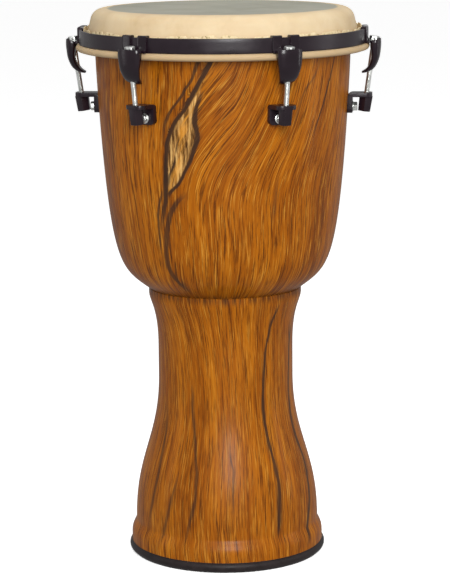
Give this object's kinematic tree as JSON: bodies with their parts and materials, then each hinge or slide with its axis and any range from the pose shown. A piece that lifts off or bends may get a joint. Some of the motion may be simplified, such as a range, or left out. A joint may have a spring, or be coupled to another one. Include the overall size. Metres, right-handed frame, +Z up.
{
  "type": "djembe",
  "caption": "Goblet-shaped hand drum: moulded shell with a wood-grain finish, goatskin head under a steel hoop, claws and tension bolts on bent brackets, rubber foot ring.",
  "frame": {"origin": "centre of the foot's bottom face", "axes": "+Z up along the drum's axis, -Y towards the front"},
  "size_m": [0.3592, 0.335, 0.635],
  "materials": {
    "shell_finish": "fibre-reinforced resin moulding with a printed wood grain under satin lacquer",
    "foot_rubber": "moulded black rubber",
    "head_skin": "shaved goatskin, dried taut",
    "black_steel": "satin black powder coat",
    "bright_zinc": "bright zinc plate",
    "hoop_wire": "plain rolled steel rod",
    "black_plastic": "moulded black nylon"
  },
  "bodies": {
    "root": {"stem_shell": "shell_finish", "bowl_shell": "shell_finish", "base_ring": "foot_rubber", "drumhead": "head_skin", "bracket_1": "black_steel", "bracket_2": "black_steel", "bracket_3": "black_steel", "bracket_4": "black_steel", "bracket_5": "black_steel", "bracket_6": "black_steel", "tension_nut_1": "bright_zinc", "tension_nut_2": "bright_zinc", "tension_nut_3": "bright_zinc", "tension_nut_4": "bright_zinc", "tension_nut_5": "bright_zinc", "tension_nut_6": "bright_zinc", "nut_cap_1": "black_plastic", "nut_cap_2": "black_plastic", "nut_cap_3": "black_plastic", "nut_cap_4": "black_plastic", "nut_cap_5": "black_plastic", "nut_cap_6": "black_plastic", "bracket_bolts": "bright_zinc", "backing_washers": "bright_zinc", "bracket_nuts": "bright_zinc"},
    "hoop": {"counter_hoop": "black_steel", "flesh_hoop": "hoop_wire", "skin_wrap": "head_skin", "claw_1": "black_steel", "claw_2": "black_steel", "claw_3": "black_steel", "claw_4": "black_steel", "claw_5": "black_steel", "claw_6": "black_steel"},
    "washer_1": {"bolt_washer_1": "bright_zinc"},
    "bolt_1": {"tension_bolt_1": "bright_zinc"},
    "washer_2": {"bolt_washer_2": "bright_zinc"},
    "bolt_2": {"tension_bolt_2": "bright_zinc"},
    "washer_3": {"bolt_washer_3": "bright_zinc"},
    "bolt_3": {"tension_bolt_3": "bright_zinc"},
    "washer_4": {"bolt_washer_4": "bright_zinc"},
    "bolt_4": {"tension_bolt_4": "bright_zinc"},
    "washer_5": {"bolt_washer_5": "bright_zinc"},
    "bolt_5": {"tension_bolt_5": "bright_zinc"},
    "washer_6": {"bolt_washer_6": "bright_zinc"},
    "bolt_6": {"tension_bolt_6": "bright_zinc"}
  },
  "joints": [
    {"name": "head_tuning", "type": "slide", "parent": "root", "child": "hoop", "axis": [0, 0, -1], "range_m": [-0.006, 0.004]},
    {"name": "washer_slide_1", "type": "slide", "parent": "root", "child": "washer_1", "axis": [-0.0575, 0.1267, -0.9903], "range_m": [-0.006, 0.004]},
    {"name": "bolt_turn_1", "type": "hinge", "parent": "washer_1", "child": "bolt_1", "pos_m": [0.07114, -0.15682, 0.5964], "axis": [-0.0575, 0.1267, -0.9903], "range_deg": [-2160, 1440]},
    {"name": "washer_slide_2", "type": "slide", "parent": "root", "child": "washer_2", "axis": [-0.1385, 0.0136, -0.9903], "range_m": [-0.006, 0.004]},
    {"name": "bolt_turn_2", "type": "hinge", "parent": "washer_2", "child": "bolt_2", "pos_m": [0.17138, -0.0168, 0.5964], "axis": [-0.1385, 0.0136, -0.9903], "range_deg": [-2160, 1440]},
    {"name": "washer_slide_3", "type": "slide", "parent": "root", "child": "washer_3", "axis": [-0.081, -0.1132, -0.9903], "range_m": [-0.006, 0.004]},
    {"name": "bolt_turn_3", "type": "hinge", "parent": "washer_3", "child": "bolt_3", "pos_m": [0.10024, 0.14002, 0.5964], "axis": [-0.081, -0.1132, -0.9903], "range_deg": [-2160, 1440]},
    {"name": "washer_slide_4", "type": "slide", "parent": "root", "child": "washer_4", "axis": [0.0575, -0.1267, -0.9903], "range_m": [-0.006, 0.004]},
    {"name": "bolt_turn_4", "type": "hinge", "parent": "washer_4", "child": "bolt_4", "pos_m": [-0.07114, 0.15682, 0.5964], "axis": [0.0575, -0.1267, -0.9903], "range_deg": [-2160, 1440]},
    {"name": "washer_slide_5", "type": "slide", "parent": "root", "child": "washer_5", "axis": [0.1385, -0.0136, -0.9903], "range_m": [-0.006, 0.004]},
    {"name": "bolt_turn_5", "type": "hinge", "parent": "washer_5", "child": "bolt_5", "pos_m": [-0.17138, 0.0168, 0.5964], "axis": [0.1385, -0.0136, -0.9903], "range_deg": [-2160, 1440]},
    {"name": "washer_slide_6", "type": "slide", "parent": "root", "child": "washer_6", "axis": [0.081, 0.1132, -0.9903], "range_m": [-0.006, 0.004]},
    {"name": "bolt_turn_6", "type": "hinge", "parent": "washer_6", "child": "bolt_6", "pos_m": [-0.10024, -0.14002, 0.5964], "axis": [0.081, 0.1132, -0.9903], "range_deg": [-2160, 1440]}
  ],
  "couplings": [
    {"joint": "washer_slide_1", "follows": "head_tuning", "ratio": 0.99027},
    {"joint": "bolt_turn_1", "follows": "head_tuning", "rad_per_m": 6222},
    {"joint": "washer_slide_2", "follows": "head_tuning", "ratio": 0.99027},
    {"joint": "bolt_turn_2", "follows": "head_tuning", "rad_per_m": 6222},
    {"joint": "washer_slide_3", "follows": "head_tuning", "ratio": 0.99027},
    {"joint": "bolt_turn_3", "follows": "head_tuning", "rad_per_m": 6222},
    {"joint": "washer_slide_4", "follows": "head_tuning", "ratio": 0.99027},
    {"joint": "bolt_turn_4", "follows": "head_tuning", "rad_per_m": 6222},
    {"joint": "washer_slide_5", "follows": "head_tuning", "ratio": 0.99027},
    {"joint": "bolt_turn_5", "follows": "head_tuning", "rad_per_m": 6222},
    {"joint": "washer_slide_6", "follows": "head_tuning", "ratio": 0.99027},
    {"joint": "bolt_turn_6", "follows": "head_tuning", "rad_per_m": 6222}
  ]
}
